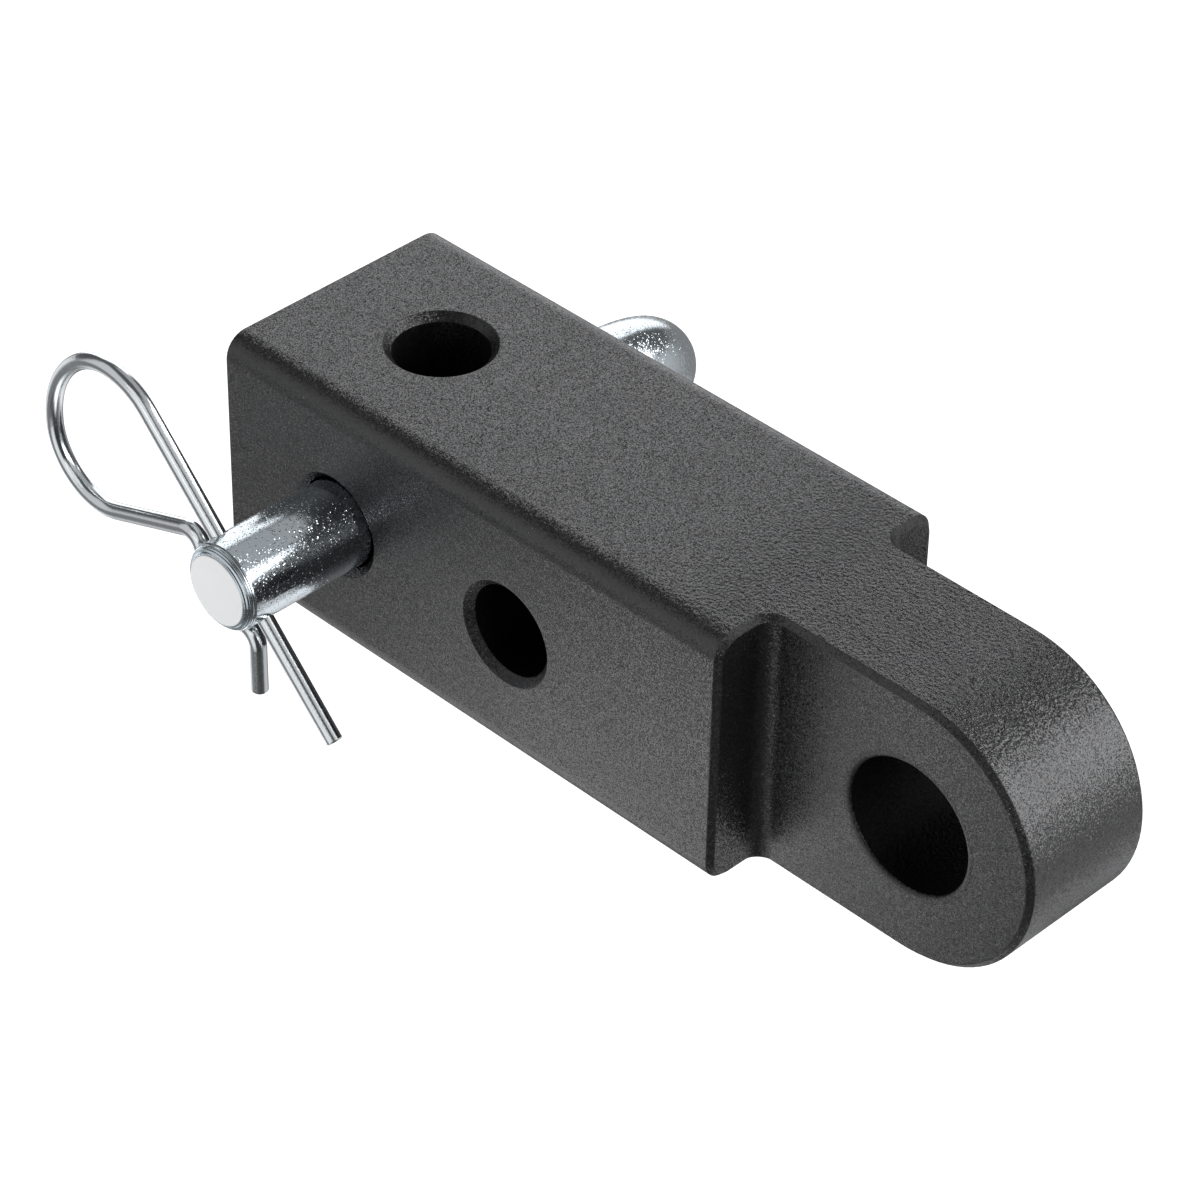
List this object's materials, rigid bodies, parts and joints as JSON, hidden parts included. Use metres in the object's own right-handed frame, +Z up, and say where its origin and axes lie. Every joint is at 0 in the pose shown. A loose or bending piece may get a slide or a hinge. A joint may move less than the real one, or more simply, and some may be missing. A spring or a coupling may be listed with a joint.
{
  "type": "shackle hitch receiver",
  "caption": "Square-shank block for a receiver tube, with a rounded tongue bored for a bow shackle, locked by a bent hitch pin and a spring wire clip.",
  "frame": {"origin": "where the axis of the pin bore crosses the centre line of the square shank", "axes": "+X along the shank from the receiver tube towards the shackle end, +Z up, the clip end of the pin on -Y and its bent handle on +Y"},
  "size_m": [0.1927, 0.1252, 0.0682],
  "materials": {
    "anodised_block": "bead-blasted, black anodised, satin",
    "zinc_pin": "bright zinc plated, turned tip",
    "zinc_clip": "bright zinc plated spring wire"
  },
  "bodies": {
    "block": {"receiver_block": "anodised_block"},
    "pin": {"hitch_pin": "zinc_pin"},
    "clip": {"retaining_clip": "zinc_clip"}
  },
  "joints": [
    {"name": "pin_slide", "type": "slide", "parent": "block", "child": "pin", "axis": [0, 1, 0], "range_m": [-0.01, 0.018]},
    {"name": "clip_pull", "type": "slide", "parent": "pin", "child": "clip", "axis": [-0.7071, 0, 0.7071], "range_m": [0, 0.042], "deforming": ["retaining_clip"]}
  ]
}
